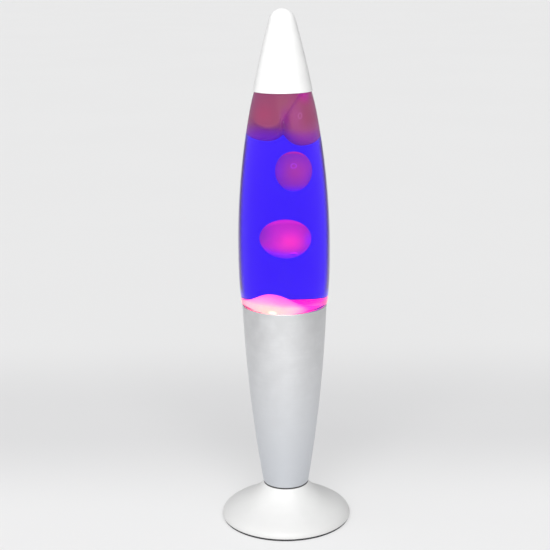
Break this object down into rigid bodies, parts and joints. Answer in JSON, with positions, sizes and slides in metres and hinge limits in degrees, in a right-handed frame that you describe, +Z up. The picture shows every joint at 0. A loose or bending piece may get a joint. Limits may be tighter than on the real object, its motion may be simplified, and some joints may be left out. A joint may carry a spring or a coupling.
{
  "type": "lava lamp",
  "caption": "Tall rocket-shaped lava lamp: round white foot, tapered silver base, glass bottle of blue-violet liquid with rising pink wax, and a white cone cap.",
  "frame": {"origin": "centre of the underside, on the surface the lamp stands on", "axes": "+Z up along the lamp's axis, -Y to the front, +X to the right seen from the front, cord inlet at +Y"},
  "size_m": [0.0896, 0.0896, 0.35],
  "materials": {
    "white_paint": "satin white paint on spun metal",
    "clear_glass": "clear polished glass",
    "closure_metal": "plain pressed metal",
    "liner_foam": "soft foam",
    "dyed_liquid": "clear blue-violet liquid, lit from below",
    "hot_wax": "molten translucent wax, brightest at the bottom",
    "cool_wax": "translucent wax in weaker light",
    "free_wax": "molten translucent wax",
    "steel_wire": "plain steel wire",
    "satin_silver": "fine satin silver",
    "white_plastic": "satin white moulding",
    "black_plastic": "fine matt texture",
    "zinc_steel": "bright zinc plate",
    "black_rubber": "matt foam rubber",
    "grey_rubber": "matt rubber",
    "brass": "plain brass",
    "ivory_plastic": "heat-proof moulding",
    "holder_ceramic": "unglazed steatite",
    "block_plastic": "plain moulding",
    "brown_sleeve": "smooth sleeve",
    "blue_sleeve": "smooth sleeve",
    "bulb_glass": "reflector coat on the cone, satin face",
    "nickel": "nickel plate",
    "black_vitrite": "black glass",
    "tungsten": "dark wire"
  },
  "bodies": {
    "lamp_base": {"base_shell": "satin_silver", "foot_shell": "white_plastic", "foot_cover": "black_plastic", "foot_cover_screws": "zinc_steel", "non_slip_ring": "black_rubber", "cord_grommet": "grey_rubber", "threaded_tube": "brass", "clamp_nuts": "zinc_steel", "clamp_washers": "zinc_steel", "holder_dome": "ivory_plastic", "holder_skirt": "ivory_plastic", "holder_interior": "holder_ceramic", "holder_screw_shell": "brass", "holder_centre_contact": "brass", "holder_terminal_screws": "brass", "terminal_block": "block_plastic", "terminal_block_screws": "zinc_steel", "live_lead": "brown_sleeve", "neutral_lead": "blue_sleeve"},
    "bottle": {"bottle_glass": "clear_glass", "bottle_closure": "closure_metal", "closure_liner": "liner_foam", "liquid": "dyed_liquid", "wax_pool": "hot_wax", "wax_crown": "cool_wax", "heat_coil": "steel_wire"},
    "cap": {"cap": "white_paint"},
    "upper_blob": {"wax_blob_upper": "free_wax"},
    "lower_blob": {"wax_blob_lower": "free_wax"},
    "bulb_thread": {"bulb_cap": "nickel", "bulb_insulator": "black_vitrite", "bulb_tip_contact": "nickel"},
    "bulb": {"bulb_glass": "bulb_glass", "bulb_stem": "clear_glass", "bulb_supports": "steel_wire", "bulb_filament": "tungsten"}
  },
  "joints": [
    {"name": "bottle_lift", "type": "slide", "parent": "lamp_base", "child": "bottle", "axis": [0, 0, 1], "range_m": [0, 0.06]},
    {"name": "cap_lift", "type": "slide", "parent": "bottle", "child": "cap", "axis": [0, 0, 1], "range_m": [0, 0.045]},
    {"name": "upper_blob_drift", "type": "slide", "parent": "bottle", "child": "upper_blob", "axis": [0, 0, 1], "range_m": [-0.009, 0.0035]},
    {"name": "lower_blob_drift", "type": "slide", "parent": "bottle", "child": "lower_blob", "axis": [0, 0, 1], "range_m": [-0.02, 0.0075]},
    {"name": "bulb_rise", "type": "slide", "parent": "lamp_base", "child": "bulb_thread", "axis": [0, 0, 1], "range_m": [0, 0.0071]},
    {"name": "bulb_turn", "type": "hinge", "parent": "bulb_thread", "child": "bulb", "pos_m": [0, 0, 0.08], "axis": [0, 0, 1], "range_deg": [0, 900]}
  ],
  "couplings": [
    {"joint": "bulb_rise", "follows": "bulb_turn", "m_per_rad": 0.00044882}
  ]
}
